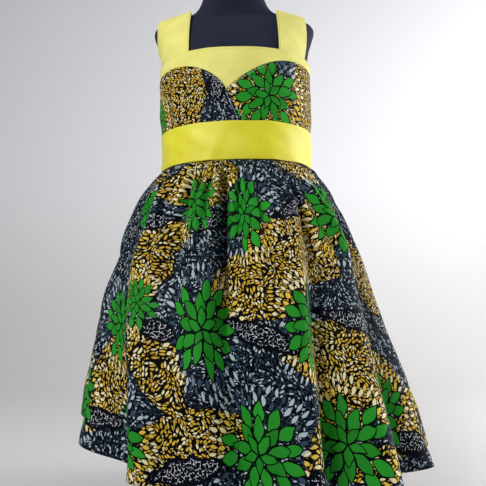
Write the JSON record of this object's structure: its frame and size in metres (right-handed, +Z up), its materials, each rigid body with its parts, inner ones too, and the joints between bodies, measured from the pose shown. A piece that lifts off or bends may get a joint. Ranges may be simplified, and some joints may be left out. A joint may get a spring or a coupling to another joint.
{
  "type": "girl's wax print dress on a child's dress form",
  "caption": "Girl's sleeveless fit-and-flare dress in leaf wax print with plain yoke, straps and waistband, worn by a limbless child's dress form on a round stand.",
  "frame": {"origin": "centre of the underside of the stand's base", "axes": "+Z up the pole, -Y out of the centre front of the dress, +X towards the wearer's left"},
  "size_m": [0.4461, 0.4473, 0.7715],
  "materials": {
    "wax_print": "printed plain-weave cotton with a light wax sheen",
    "yellow_cotton": "plain-weave cotton, slight sheen",
    "form_jersey": "matt stretch jersey",
    "stand_paint": "satin black paint",
    "stand_steel": "brushed",
    "zip_tape": "woven tape with nylon coil",
    "zip_metal": "dark plated metal"
  },
  "bodies": {
    "dress_on_form": {"back_bodice_left": "wax_print", "back_bodice_right": "wax_print", "cup_left": "wax_print", "cup_right": "wax_print", "form_torso": "form_jersey", "skirt_back_left": "wax_print", "skirt_back_right": "wax_print", "skirt_front": "wax_print", "stand_base": "stand_paint", "stand_plate": "stand_paint", "stand_pole": "stand_steel", "strap_left": "yellow_cotton", "strap_right": "yellow_cotton", "waistband_back_left": "yellow_cotton", "waistband_back_right": "yellow_cotton", "waistband_front": "yellow_cotton", "yoke_front": "yellow_cotton", "zip_chain": "zip_tape", "zip_slider": "zip_metal"},
    "zip_pull": {"zip_pull": "zip_metal"}
  },
  "joints": [
    {"name": "zip_pull_swing", "type": "hinge", "parent": "dress_on_form", "child": "zip_pull", "pos_m": [0, 0.09148, 0.608], "axis": [1, 0, 0], "range_deg": [0, 150]}
  ]
}
